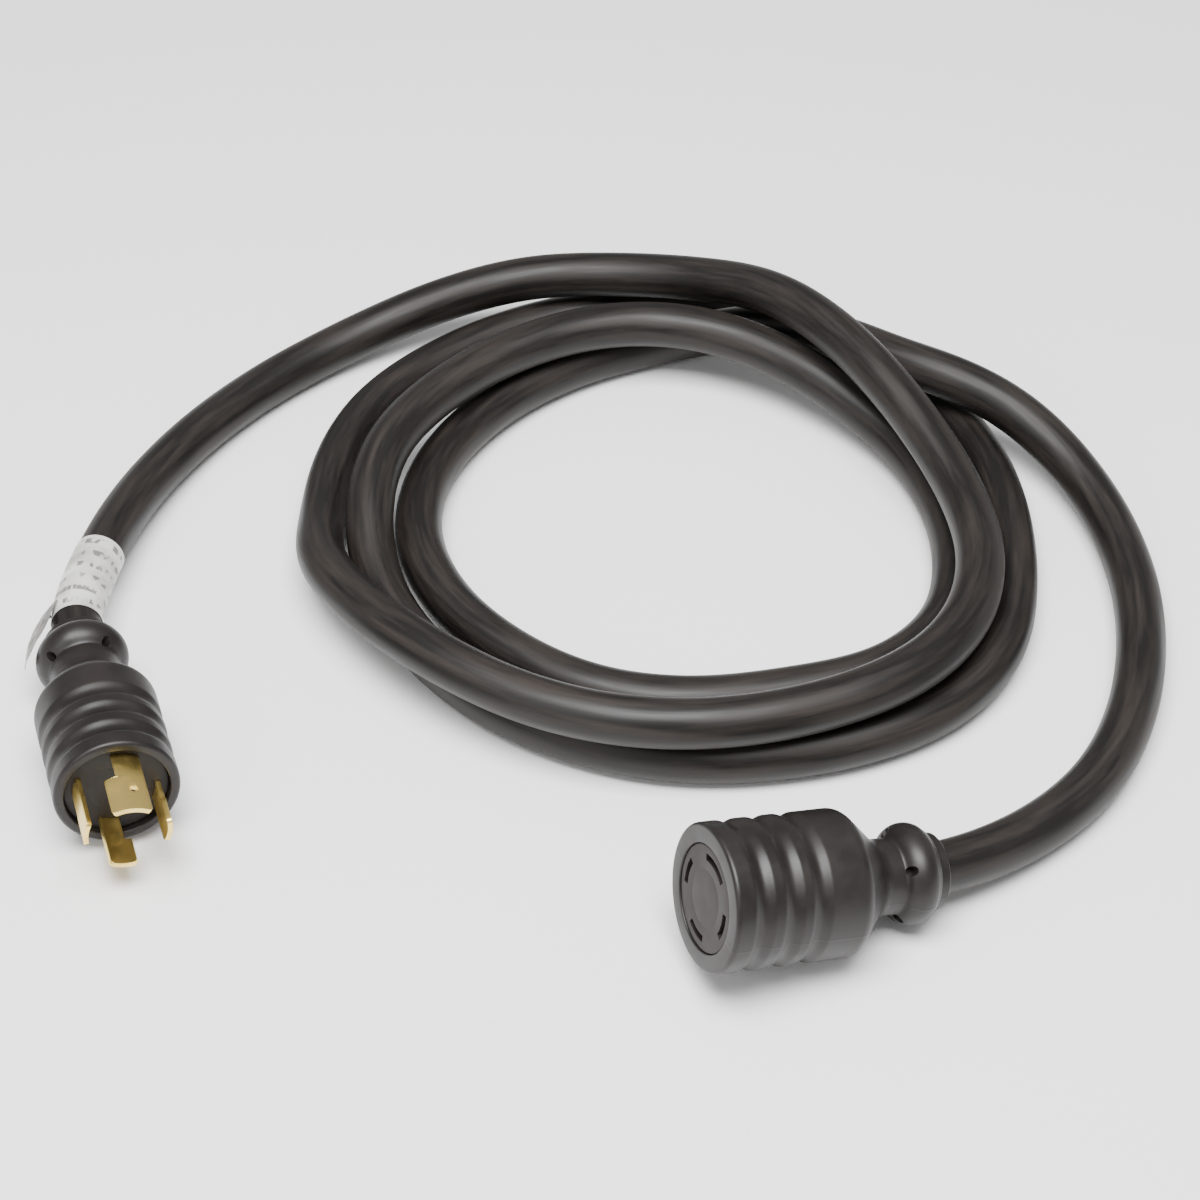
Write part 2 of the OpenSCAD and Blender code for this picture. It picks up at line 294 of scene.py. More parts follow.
def outside(z, body_r, back, collar_r):
    """Radius of an overmould at depth z behind the rim."""
    if z < back:
        return body_r - sum(GROOVE_DEPTH * dip(z, at, GROOVE_REACH) ** 0.7 for at in GROOVES)
    off = abs(z - COLLAR_MID)
    centre = collar_r - COLLAR_ROUND
    collar = centre + math.sqrt(COLLAR_ROUND ** 2 - off ** 2) if off < COLLAR_ROUND else 0
    lip = collar_r - LIP_STEP if z > COLLAR_MID else 0
    r = smooth_max(shoulder_at(z, body_r, back), WAIST_R, WAIST_BLEND)
    r = smooth_max(r, collar, COLLAR_BLEND)
    r = smooth_max(r, lip, LIP_BLEND)
    return r - RING_DEPTH * dip(z, RING_AT, RING_REACH)


def overmould_profile(body_r, back, collar_r):
    """Closed outline: inside from the cable's bore to the rim, outside back to the lip."""
    inner_edge = 0.5
    lip_edge = 0.7
    lip_r = collar_r - LIP_STEP
    points = [(CABLE_R + 0.05, -STUB_FRONT), (CORE_R, -CORE_BACK), (CORE_R, -BRIDGE_BACK),
              (BRIDGE_R, -BRIDGE_BACK), (BRIDGE_R, -4), (BRIDGE_R, -inner_edge - 0.6)]
    for k in range(5):
        a = math.radians(180 - 22.5 * k)
        points.append((BRIDGE_R + inner_edge + inner_edge * math.cos(a),
                       -inner_edge + inner_edge * math.sin(a)))
    points.append(((BRIDGE_R + body_r) / 2, 0))
    for k in range(9):
        a = math.radians(90 - 11.25 * k)
        points.append((body_r - RIM_ROUND + RIM_ROUND * math.cos(a),
                       -RIM_ROUND + RIM_ROUND * math.sin(a)))
    steps = 190
    first, last = RIM_ROUND + 0.6, END_LENGTH - lip_edge
    for k in range(steps + 1):
        z = first + (last - first) * k / steps
        points.append((outside(z, body_r, back, collar_r), -z))
    for k in range(1, 6):
        a = math.radians(18 * k)
        points.append((lip_r - lip_edge + lip_edge * math.cos(a),
                       -last - lip_edge * math.sin(a)))
    points += [(CABLE_R + 0.8, -END_LENGTH), (CABLE_R + 0.25, -END_LENGTH + 0.25),
               (CABLE_R + 0.05, -END_LENGTH + 0.9), (CABLE_R + 0.05, -END_LENGTH + 8)]
    return points


def overmould(name, body_r, back, collar_r, place):
    """An end's rubber body with its blind holes."""
    body = lathe(name, overmould_profile(body_r, back, collar_r), place)
    at = Vector((0, 0, -COLLAR_HOLE_AT))
    pins = []
    for a in range(COLLAR_HOLE_FIRST, 360, 90):
        out = Vector((math.cos(math.radians(a)), math.sin(math.radians(a)), 0))
        pins.append(rod("pin", place @ (at + out * COLLAR_HOLE_FLOOR),
                        place @ (at + out * (collar_r + 3)), COLLAR_HOLE_R))
    cut(body, pins)
    soften(body, 35)
    return body


# ---- Bridges ----

def bridge_profile(recess):
    """Half outline of a bridge with a shallow ring round its middle."""
    front = -recess
    r = BRIDGE_R - BRIDGE_FIT
    edge, ring = 0.7, front - 0.06
    points = [(0, front), (1.2, front), (9.0, front), (9.3, ring), (9.7, ring), (10.0, front),
              (r - 0.9, front)]
    for k in range(1, 6):
        a = math.radians(90 - 18 * k)
        points.append((r - edge + edge * math.cos(a), front - edge + edge * math.sin(a)))
    points += [(r, -BRIDGE_BACK), (9, -BRIDGE_BACK), (0, -BRIDGE_BACK)]
    return points


def slot_tool(a0, a1, t, top, place):
    """What cuts a bent slot from behind a bridge up to the depth top."""
    low = -BRIDGE_BACK - 1
    return bent_plate("slot", [(low, a0, a1), (top, a0, a1)], t, 10, place)


def plug_bridge():
    face = disc("plug_bridge", bridge_profile(PLUG_RECESS), PLUG)
    tools = []
    for a, root in zip(PLUG_POLES, ROOTS):
        half = root / 2 + 0.4
        tools.append(slot_tool(a - half, a + half, BLADE_T + 0.16, 1, PLUG_POLES_PLACE))
    cut(face, tools)
    soften(face, 35)
    return face


def connector_bridge():
    face = disc("connector_bridge", bridge_profile(CONNECTOR_RECESS), CONNECTOR)
    tools = []
    for a, root, hook in zip(CONNECTOR_POLES, ROOTS, HOOKS):
        half = root / 2
        tools.append(slot_tool(a - half - hook, a + half, BLADE_T + SLOT_GAP + 0.1, 1,
                               CONNECTOR_POLES_PLACE))
        # room behind the slot for the spring contact
        tools.append(slot_tool(a - half + 2.5, a + half - 2.5, 4.0, -3.2,
                               CONNECTOR_POLES_PLACE))
    cut(face, tools)
    soften(face, 35)
    return face


# ---- Blades ----

def blade(i):
    """A blade from its root in the bridge to its hooked tip."""
    a, half = PLUG_POLES[i], ROOTS[i] / 2
    reach, hook = REACHES[i], HOOKS[i]
    per_mm = 360 / (TAU * BLADE_R)  # degrees of arc in a millimetre
    corner = 1.6
    low, high = a - half, a + half
    rows = [(-BRIDGE_BACK + 0.1, low, high), (-2, low, high), (3, low, high),
            (HOOK_START - 0.5, low, high), (HOOK_START - 0.15, low, high + 0.6 * per_mm),
            (HOOK_START, low, high + hook - 0.5 * per_mm),
            (HOOK_START + 0.35, low, high + hook)]
    steps = 5
    for k in range(1, steps):
        rows.append((HOOK_START + (reach - corner - HOOK_START) * k / steps, low, high + hook))
    for k in range(6):
        turn = math.radians(15 * k)
        inset = corner * (1 - math.cos(turn)) * per_mm
        rows.append((reach - corner + corner * math.sin(turn), low + inset,
                     high + hook - inset))
    place = PLUG_POLES_PLACE
    plate = bent_plate("plug_blade_" + POLE_NAMES[i], rows, BLADE_T, 14, place)
    if i == 0:
        at = Vector((0, BLADE_R, reach * 0.6))
        cut(plate, [rod("hole", place @ (at - Vector((0, 3, 0))),
                        place @ (at + Vector((0, 3, 0))), EARTH_HOLE_R)])
    bevel(plate, 0.28, 2, 50)
    return plate


# ---- Cable ----

SHIFT = Vector((-1, 3.5, 0))
LOOSE = [
    # from the plug
    (-146, 84, 18), (-143, 126, 15), (-135, 162, 12), (-119, 199, 10), (-94, 235, 9),
    (-60, 265, 11), (-22, 281, 20),
    # first turn, riding over the others
    (14, 286, 28), (50, 287, 29), (83, 277, 34), (112, 257, 42), (134, 231, 44),
    (152, 204, 41), (168, 177, 34), (180, 147, 28), (184, 112, 27), (176, 79, 27),
    (155, 51, 28), (123, 33, 28), (87, 24, 28), (51, 25, 28), (18, 36, 28), (-12, 56, 28),
    (-39, 84, 25), (-59, 118, 19), (-62, 154, 9.6), (-59, 190, 9), (-47, 224, 9),
    (-24, 252, 9), (7, 275, 9), (40, 288, 9),
    # second turn
    (76, 294, 9), (110, 288, 9), (140, 271, 9), (165, 247, 9), (184, 218, 9),
    (196, 186, 9), (200, 152, 9), (198, 116, 9), (190, 82, 9), (170, 54, 9), (140, 36, 9),
    (105, 27, 9), (70, 26, 9), (36, 35, 9), (4, 54, 9), (-21, 82, 9), (-38, 115, 10.3),
    (-43.5, 148, 19), (-37.5, 182, 25), (-17, 213, 27), (12, 238, 28),
    # third turn
    (46, 253, 28), (82, 253, 27), (115, 239, 24), (143, 217, 18), (164, 193, 12),
    (176, 161, 9), (178, 127, 9), (170, 95, 9), (146, 70, 9), (111, 59, 9), (76, 54, 9),
    (42, 60, 9), (12, 79, 9), (-12, 107, 9), (-25, 142, 9), (-23, 178, 9), (-8, 211, 9),
    (18, 240, 9), (51, 260, 9),
    # to the connector
    (84, 268, 12), (112, 264, 20), (138, 248, 27), (161, 228, 30), (184, 215, 30),
    (207, 202, 24), (226, 182, 15), (238, 154, 10), (243, 120, 9), (241, 84, 9),
    (232, 47, 9), (215, 14, 9), (187, -13, 10),
]


def curve_through(points, step):
    """Centripetal spline through the points, at about even steps."""
    out = []
    for i in range(1, len(points) - 2):
        p = points[i - 1:i + 3]
        t = [0.0]
        for a, b in zip(p, p[1:]):
            t.append(t[-1] + max((b - a).length, 1e-6) ** 0.5)
        n = max(2, round((p[2] - p[1]).length / step))
        for k in range(n):
            x = t[1] + (t[2] - t[1]) * k / n
            a1 = p[0].lerp(p[1], (x - t[0]) / (t[1] - t[0]))
            a2 = p[1].lerp(p[2], (x - t[1]) / (t[2] - t[1]))
            a3 = p[2].lerp(p[3], (x - t[2]) / (t[3] - t[2]))
            b1 = a1.lerp(a2, (x - t[0]) / (t[2] - t[0]))
            b2 = a2.lerp(a3, (x - t[1]) / (t[3] - t[1]))
            out.append(b1.lerp(b2, (x - t[1]) / (t[2] - t[1])))
    out.append(points[-2].copy())
    return out


def cable_line():
    """Smooth centreline from the plug's collar to the connector's."""
    lead = 60  # straight run inside each end
    back = Vector((0, 0, -1))
    ends = []
    for place in (PLUG, CONNECTOR):
        ends.append((place @ (back * END_LENGTH), (place.to_3x3() @ back).normalized()))
    (p0, d0), (p1, d1) = ends
    points = [p0 - d0 * lead, p0 - d0 * lead / 2, p0]
    points += [Vector(p) + SHIFT for p in LOOSE]
    points += [p1, p1 - d1 * lead / 2, p1 - d1 * lead]
    line = curve_through(points, 3)
    # evens out the listed points
    reach, sigma = 9, 3.6
    weights = [math.exp(-(k / sigma) ** 2 / 2) for k in range(-reach, reach + 1)]
    total = sum(weights)
    smooth = []
    for i in range(reach, len(line) - reach):
        sum_p = Vector()
        for w, k in zip(weights, range(-reach, reach + 1)):
            sum_p += line[i + k] * w
        smooth.append(sum_p / total)
    first = min(range(len(smooth)), key=lambda i: (smooth[i] - p0).length)
    last = min(range(len(smooth)), key=lambda i: (smooth[i] - p1).length)
    line = [p0] + smooth[first + 1:last] + [p1]
    for p in line:
        p.z = max(p.z, CABLE_R + 0.05)
    return line


def add(tree, kind, **values):
    """A node with its settings and its unlinked inputs."""
    node = tree.nodes.new(kind)
    for key, value in values.items():
        if key.startswith("in_"):
            node.inputs[int(key[3:])].default_value = value
        else:
            setattr(node, key, value)
    return node


def jacket_tree():
    """Sweeps a round jacket along a line and keeps where each point sits on it."""
    tree = bpy.data.node_groups.new("round_jacket", "GeometryNodeTree")
    face = tree.interface
    face.new_socket("Geometry", in_out="INPUT", socket_type="NodeSocketGeometry")
    face.new_socket("Radius", in_out="INPUT", socket_type="NodeSocketFloat")
    face.new_socket("Sides", in_out="INPUT", socket_type="NodeSocketInt")
    face.new_socket("Material", in_out="INPUT", socket_type="NodeSocketMaterial")
    face.new_socket("Geometry", in_out="OUTPUT", socket_type="NodeSocketGeometry")
    link = tree.links.new
    given = add(tree, "NodeGroupInput")
    made = add(tree, "NodeGroupOutput")
    along = add(tree, "GeometryNodeSplineParameter")
    keep_along = add(tree, "GeometryNodeCaptureAttribute")
    keep_along.capture_items.new("FLOAT", "Along")
    circle = add(tree, "GeometryNodeCurvePrimitiveCircle")
    around = add(tree, "GeometryNodeSplineParameter")
    keep_around = add(tree, "GeometryNodeCaptureAttribute")
    keep_around.capture_items.new("FLOAT", "Around")
    sweep = add(tree, "GeometryNodeCurveToMesh")
    sweep.inputs["Fill Caps"].default_value = True
    angle = add(tree, "ShaderNodeMath", operation="MULTIPLY", in_1=TAU)
    cosine = add(tree, "ShaderNodeMath", operation="COSINE")
    sine = add(tree, "ShaderNodeMath", operation="SINE")
    combine = add(tree, "ShaderNodeCombineXYZ")
    store = add(tree, "GeometryNodeStoreNamedAttribute", data_type="FLOAT_VECTOR")
    store.inputs["Name"].default_value = "jacket"
    smooth = add(tree, "GeometryNodeSetShadeSmooth")
    realize = add(tree, "GeometryNodeRealizeInstances")
    paint = add(tree, "GeometryNodeSetMaterial")
    link(given.outputs["Geometry"], keep_along.inputs[0])
    link(along.outputs["Length"], keep_along.inputs["Along"])
    link(given.outputs["Sides"], circle.inputs["Resolution"])
    link(given.outputs["Radius"], circle.inputs["Radius"])
    link(circle.outputs["Curve"], keep_around.inputs[0])
    link(around.outputs["Factor"], keep_around.inputs["Around"])
    link(keep_along.outputs[0], sweep.inputs["Curve"])
    link(keep_around.outputs[0], sweep.inputs["Profile Curve"])
    link(keep_around.outputs["Around"], angle.inputs[0])
    link(angle.outputs[0], cosine.inputs[0])
    link(angle.outputs[0], sine.inputs[0])
    link(cosine.outputs[0], combine.inputs["X"])
    link(sine.outputs[0], combine.inputs["Y"])
    link(keep_along.outputs["Along"], combine.inputs["Z"])
    link(sweep.outputs["Mesh"], store.inputs["Geometry"])
    link(combine.outputs[0], store.inputs["Value"])
    link(store.outputs["Geometry"], smooth.inputs["Geometry"])
    link(smooth.outputs["Geometry"], realize.inputs["Geometry"])
    link(realize.outputs["Geometry"], paint.inputs["Geometry"])
    link(given.outputs["Material"], paint.inputs["Material"])
    link(paint.outputs["Geometry"], made.inputs["Geometry"])
    return tree


def swept(name, line, radius, sides, mat):
    """A round cable along a line in millimetres, as a plain mesh."""
    curve = bpy.data.curves.new(name, "CURVE")
    curve.dimensions = "3D"
    curve.twist_mode = "MINIMUM"
    spline = curve.splines.new("POLY")
    spline.points.add(len(line) - 1)
    for point, p in zip(spline.points, line):
        point.co = (*(p * MM), 1)
    obj = bpy.data.objects.new(name, curve)
    bpy.context.collection.objects.link(obj)
    nodes = obj.modifiers.new("jacket", "NODES")
    nodes.node_group = jacket_tree()
    settings = {"Radius": radius * MM, "Sides": sides, "Material": mat}
    for item in nodes.node_group.interface.items_tree:
        if item.in_out == "INPUT" and item.name in settings:
            nodes[item.identifier] = settings[item.name]
    return bake(obj)


# ---- Label ----

def line_frames(line):
    """Distance, point, left-hand side and top at each point of a line."""
    frames, gone = [], 0.0
    for i, p in enumerate(line):
        if i:
            gone += (p - line[i - 1]).length
        d = (line[min(i + 1, len(line) - 1)] - line[max(i - 1, 0)]).normalized()
        side = Vector((0, 0, 1)).cross(d).normalized()
        frames.append((gone, p, side, d.cross(side), d))
    return frames


def frame_at(frames, at):
    for a, b in zip(frames, frames[1:]):
        if b[0] >= at:
            f = (at - a[0]) / (b[0] - a[0])
            return [a[k].lerp(b[k], f) for k in (1, 2, 3, 4)]
    return frames[-1][1:]


def film(name, rows):
    """A thin closed sheet from rows of (point, outward) pairs."""
    w = len(rows[0])
    verts = [p for row in rows for p, _ in row]
    verts += [p + n * FILM_T for row in rows for p, n in row]
    total = len(rows) * w
    faces = []
    for j in range(len(rows) - 1):
        for c in range(w - 1):
            a, b = j * w + c, (j + 1) * w + c
            faces.append((a, a + 1, b + 1, b))
            faces.append((total + a, total + b, total + b + 1, total + a + 1))
        for c in (0, w - 1):
            a, b = j * w + c, (j + 1) * w + c
            faces.append((a, b, total + b, total + a))
    for j in (0, len(rows) - 1):
        for c in range(w - 1):
            a = j * w + c
            faces.append((a, total + a, total + a + 1, a + 1))
    print_at = []
    for layer in range(2):
        for j in range(len(rows)):
            for c in range(w):
                print_at.append((c / (w - 1), j / (len(rows) - 1), layer))
    return mesh_object(name, verts, faces, 60, {"print": print_at})


LABEL_START, LABEL_END = 11, 53
WRAP_START, WRAP_TURN = -105, -385  # degrees from the cable's left-hand side
FILM_T = 0.2


def label(frames):
    """Film wrapped once and a bit round the cable."""
    rows, along, around = [], 26, 96
    for j in range(along + 1):
        s = LABEL_START + (LABEL_END - LABEL_START) * j / along
        p, side, top, _ = frame_at(frames, s)
        row = []
        for c in range(around + 1):
            f = c / around
            a = math.radians(WRAP_START + WRAP_TURN * f)
            out = side * math.cos(a) + top * math.sin(a)
            wave = 0.05 * math.sin(7 * f * TAU + 0.5 * j) * math.sin(0.6 * j)
            row.append((p + out * (CABLE_R + 0.06 + 0.3 * f + wave), out))
        rows.append(row)
    return film("cable_label_wrap", rows)


# Distance along the cable from the collar, then the inner and the outer edge
# as (left, up) from the cable's centre
TONGUE = (
    (17, (6.6, 7.1), (9.7, -1.0)),
    (12, (7.6, 7.6), (13.4, 0.8)),
    (7, (8.9, 7.8), (15.6, 1.8)),
    (0, (11.4, 7.4), (17.2, 2.2)),
    (-5, (14.1, 6.7), (18.0, 1.6)),
    (-12, (16.6, 6.0), (18.7, 0.4)),
)


def label_tongue(frames):
    """The free end of the film, which runs past the collar's edge."""
    p0, side0, top0, d0 = frames[0][1:]
    start, end = TONGUE[0][0], TONGUE[-1][0]
    rows = []
    steps, width = 24, 10
    for j in range(steps + 1):
        s = start + (end - start) * j / steps
        low = max(k for k in range(len(TONGUE) - 1) if s <= TONGUE[k][0])
        t = (TONGUE[low][0] - s) / (TONGUE[low][0] - TONGUE[low + 1][0])
        inner, outer = (Vector(TONGUE[low][k]).lerp(Vector(TONGUE[low + 1][k]), t)
                        for k in (1, 2))
        if s >= 0:
            p, side, top, _ = frame_at(frames, s)
        else:
            p, side, top = p0 + d0 * s, side0, top0
        across = outer - inner
        face = Vector((-across.y, across.x)).normalized()
        bulge = 0.4 + 1.1 * max(0, s) / start
        row = []
        for c in range(width + 1):
            f = c / width
            at = inner + across * f + face * bulge * 4 * f * (1 - f)
            row.append((p + side * at.x + top * at.y, side * face.x + top * face.y))
        rows.append(row)
    return film("cable_label_tongue", rows)


# ---- Materials ----

def shader_group(name, inputs, outputs):
    """An empty node group with its named sockets."""
    tree = bpy.data.node_groups.new(name, "ShaderNodeTree")
    kinds = {"color": "NodeSocketColor", "float": "NodeSocketFloat"}
    for way, sockets in (("INPUT", inputs), ("OUTPUT", outputs)):
        for socket, kind in sockets:
            tree.interface.new_socket(socket, in_out=way, socket_type=kinds[kind])
    return tree, add(tree, "NodeGroupInput"), add(tree, "NodeGroupOutput")


def noise(tree, vector, scale, detail=4.0, rough=0.55):
    node = add(tree, "ShaderNodeTexNoise")
    node.inputs["Detail"].default_value = detail
    node.inputs["Roughness"].default_value = rough
    tree.links.new(vector, node.inputs["Vector"])
    if isinstance(scale, (int, float)):
        node.inputs["Scale"].default_value = scale
    else:
        tree.links.new(scale, node.inputs["Scale"])
    return node.outputs["Fac"]


def math_node(tree, operation, a, b=None, clamp=False):
    node = add(tree, "ShaderNodeMath", operation=operation, use_clamp=clamp)
    for k, value in enumerate((a, b)):
        if value is None:
            continue
        if isinstance(value, (int, float)):
            node.inputs[k].default_value = value
        else:
            tree.links.new(value, node.inputs[k])
    return node.outputs[0]


def ramp(tree, value, low, high):
    """0 below low, 1 above high and even between them."""
    node = add(tree, "ShaderNodeMapRange", clamp=True)
    node.inputs["From Min"].default_value = low
    node.inputs["From Max"].default_value = high
    tree.links.new(value, node.inputs["Value"])
    return node.outputs["Result"]


def mix_color(tree, factor, a, b):
    node = add(tree, "ShaderNodeMix", data_type="RGBA")
    for socket, value in ((0, factor), (6, a), (7, b)):
        if isinstance(value, (int, float, tuple)):
            node.inputs[socket].default_value = value
        else:
            tree.links.new(value, node.inputs[socket])
    return node.outputs[2]


def rubber_group():
    """Matte moulded rubber: mottling, a bloom of dust, fine grain and a seam."""
    tree, given, made = shader_group(
        "moulded_rubber",
        [("Base", "color"), ("Bloom", "color"), ("Bloom Amount", "float"),
         ("Grain Scale", "float"), ("Roughness", "float"), ("Seam", "float")],
        [("Color", "color"), ("Roughness", "float"), ("Height", "float")])
    link = tree.links.new
    own = add(tree, "ShaderNodeAttribute", attribute_name="own").outputs["Vector"]
    clouds = ramp(tree, noise(tree, own, 70, 5), 0.38, 0.7)
    specks = ramp(tree, noise(tree, own, 900, 3), 0.55, 0.75)
    bloom = math_node(tree, "ADD", clouds, math_node(tree, "MULTIPLY", specks, 0.35))
    factor = math_node(tree, "MULTIPLY", bloom, given.outputs["Bloom Amount"], True)
    link(mix_color(tree, factor, given.outputs["Base"], given.outputs["Bloom"]),
         made.inputs["Color"])
    spread = math_node(tree, "MULTIPLY", math_node(tree, "SUBTRACT", clouds, 0.5), 0.12)
    link(math_node(tree, "ADD", given.outputs["Roughness"], spread), made.inputs["Roughness"])
    grain = noise(tree, own, given.outputs["Grain Scale"], 3)
    # the mould's parting line lies level, along both flanks
    y = add(tree, "ShaderNodeSeparateXYZ")
    link(own, y.inputs[0])
    flank = math_node(tree, "ABSOLUTE", y.outputs["Y"])
    seam = math_node(tree, "SUBTRACT", 1.0, ramp(tree, flank, 0.0001, 0.0006))
    seam = math_node(tree, "MULTIPLY", seam, given.outputs["Seam"])
    link(math_node(tree, "ADD", math_node(tree, "MULTIPLY", grain, 0.35), seam),
         made.inputs["Height"])
    return tree


CORE_LAY = 0.16  # metres of cable in which its cores make one turn


def jacket_group():
    """Extruded jacket: long streaks, scuffs and the lay of the cores beneath."""
    tree, given, made = shader_group(
        "extruded_jacket",
        [("Base", "color"), ("Streak", "color"), ("Streak Amount", "float"),
         ("Roughness", "float"), ("Lay", "float")],
        [("Color", "color"), ("Roughness", "float"), ("Height", "float")])
    link = tree.links.new
    at = add(tree, "ShaderNodeAttribute", attribute_name="jacket").outputs["Vector"]
    stretch = add(tree, "ShaderNodeMapping")
    stretch.inputs["Scale"].default_value = (1, 1, 9)
    link(at, stretch.inputs["Vector"])
    streaks = ramp(tree, noise(tree, stretch.outputs[0], 2.2, 5, 0.6), 0.42, 0.68)
    fine = add(tree, "ShaderNodeMapping")
    fine.inputs["Scale"].default_value = (6, 6, 25)
    link(at, fine.inputs["Vector"])
    hair = noise(tree, fine.outputs[0], 3.0, 4)
    factor = math_node(tree, "MULTIPLY", streaks, given.outputs["Streak Amount"], True)
    link(mix_color(tree, factor, given.outputs["Base"], given.outputs["Streak"]),
         made.inputs["Color"])
    worn = math_node(tree, "MULTIPLY", math_node(tree, "SUBTRACT", streaks, 0.4), 0.16)
    worn = math_node(tree, "ADD", worn, math_node(tree, "MULTIPLY",
                                                  math_node(tree, "SUBTRACT", hair, 0.5), 0.1))
    link(math_node(tree, "ADD", given.outputs["Roughness"], worn), made.inputs["Roughness"])
    # the four twisted cores lift the jacket slightly
    split = add(tree, "ShaderNodeSeparateXYZ")
    link(at, split.inputs[0])
    turn = math_node(tree, "ARCTAN2", split.outputs["Y"], split.outputs["X"])
    twist = math_node(tree, "MULTIPLY", split.outputs["Z"], TAU / CORE_LAY)
    wave = math_node(tree, "COSINE",
                     math_node(tree, "MULTIPLY", math_node(tree, "ADD", turn, twist), 4.0))
    wave = math_node(tree, "MULTIPLY", wave, given.outputs["Lay"])
    link(math_node(tree, "ADD", wave, math_node(tree, "MULTIPLY", hair, 0.25)),
         made.inputs["Height"])
    return tree


def brass_group():
    """Stamped brass: tarnish in patches and fine drawn lines along the blade."""
    tree, given, made = shader_group(
        "stamped_brass",
        [("Base", "color"), ("Tarnish", "color"), ("Tarnish Amount", "float"),
         ("Roughness", "float")],
        [("Color", "color"), ("Roughness", "float"), ("Height", "float")])
    link = tree.links.new
    own = add(tree, "ShaderNodeAttribute", attribute_name="own").outputs["Vector"]
    patches = ramp(tree, noise(tree, own, 160, 5), 0.45, 0.72)
    drawn = add(tree, "ShaderNodeMapping")
    drawn.inputs["Scale"].default_value = (1, 1, 0.06)
    link(own, drawn.inputs["Vector"])
    lines = noise(tree, drawn.outputs[0], 2600, 2)
    factor = math_node(tree, "MULTIPLY", patches, given.outputs["Tarnish Amount"], True)
    link(mix_color(tree, factor, given.outputs["Base"], given.outputs["Tarnish"]),
         made.inputs["Color"])
    rough = math_node(tree, "ADD", math_node(tree, "MULTIPLY", patches, 0.14),
                      math_node(tree, "MULTIPLY", lines, 0.12))
    link(math_node(tree, "ADD", given.outputs["Roughness"], rough), made.inputs["Roughness"])
    link(math_node(tree, "MULTIPLY", lines, 0.3), made.inputs["Height"])
    return tree


def film_group():
    """White film with rows of faint grey dashes and a few smudges."""
    tree, given, made = shader_group(
        "label_film",
        [("Film", "color"), ("Ink", "color"), ("Ink Amount", "float"), ("Rows", "float"),
         ("Smudge", "float"), ("Roughness", "float")],
        [("Color", "color"), ("Roughness", "float")])
    link = tree.links.new
    at = add(tree, "ShaderNodeAttribute", attribute_name="print").outputs["Vector"]
    split = add(tree, "ShaderNodeSeparateXYZ")
    link(at, split.inputs[0])
    across = math_node(tree, "MULTIPLY", split.outputs["Y"], given.outputs["Rows"])
    band = math_node(tree, "PINGPONG", across, 0.5)
    band = ramp(tree, band, 0.26, 0.34)
    dashes = add(tree, "ShaderNodeMapping")
    dashes.inputs["Scale"].default_value = (5, 1.4, 0)
    link(at, dashes.inputs["Vector"])
    broken = ramp(tree, noise(tree, dashes.outputs[0], 5.0, 3), 0.5, 0.58)
    smudge = ramp(tree, noise(tree, at, 3.6, 5), 0.4, 0.68)
    ink = math_node(tree, "MULTIPLY", band, broken)
    ink = math_node(tree, "ADD", ink, math_node(tree, "MULTIPLY", smudge, given.outputs["Smudge"]))
    factor = math_node(tree, "MULTIPLY", ink, given.outputs["Ink Amount"], True)
    link(mix_color(tree, factor, given.outputs["Film"], given.outputs["Ink"]),
         made.inputs["Color"])
    link(math_node(tree, "ADD", given.outputs["Roughness"],
                   math_node(tree, "MULTIPLY", smudge, 0.15)), made.inputs["Roughness"])
    return tree


def material(name, tree=None, values=None, color=None, rough=0.5, metal=0.0, bump=0.0,
             bump_distance=0.0002, specular=0.5):
    """A Principled material, plain or fed by one of the groups."""
    made = bpy.data.materials.new(name)
    made.use_nodes = True
    nodes, link = made.node_tree.nodes, made.node_tree.links.new
    shader = nodes["Principled BSDF"]
    shader.inputs["Metallic"].default_value = metal
    shader.inputs["Roughness"].default_value = rough
    shader.inputs["Specular IOR Level"].default_value = specular
    if color:
        shader.inputs["Base Color"].default_value = color
        made.diffuse_color = color
    if tree:
        group = nodes.new("ShaderNodeGroup")
        group.node_tree = tree
        for key, value in values.items():
            group.inputs[key].default_value = value
        link(group.outputs["Color"], shader.inputs["Base Color"])
        link(group.outputs["Roughness"], shader.inputs["Roughness"])
        if bump:
            node = nodes.new("ShaderNodeBump")
            node.inputs["Strength"].default_value = bump
            node.inputs["Distance"].default_value = bump_distance
            link(group.outputs["Height"], node.inputs["Height"])
            link(node.outputs["Normal"], shader.inputs["Normal"])
    return made


def rgb(r, g, b):
    return (r, g, b, 1.0)


RUBBER, JACKET, BRASS, FILM = rubber_group(), jacket_group(), brass_group(), film_group()
M_BODY = material("body_rubber", RUBBER, {
    "Base": rgb(0.0058, 0.0043, 0.0038), "Bloom": rgb(0.024, 0.018, 0.016), "Bloom Amount": 0.4,
    "Grain Scale": 1500.0, "Roughness": 0.46, "Seam": 0.9}, bump=0.35, bump_distance=0.00015,
    specular=0.42)
M_PLUG_FACE = material("plug_face", RUBBER, {
    "Base": rgb(0.006, 0.0045, 0.004), "Bloom": rgb(0.02, 0.016, 0.014), "Bloom Amount": 0.4,
    "Grain Scale": 1200.0, "Roughness": 0.6, "Seam": 0.0}, bump=0.25, specular=0.35)
M_CONNECTOR_FACE = material("connector_face", RUBBER, {
    "Base": rgb(0.009, 0.0052, 0.0046), "Bloom": rgb(0.026, 0.0165, 0.0145), "Bloom Amount": 0.5,
    "Grain Scale": 1200.0, "Roughness": 0.6, "Seam": 0.0}, bump=0.25, specular=0.4)
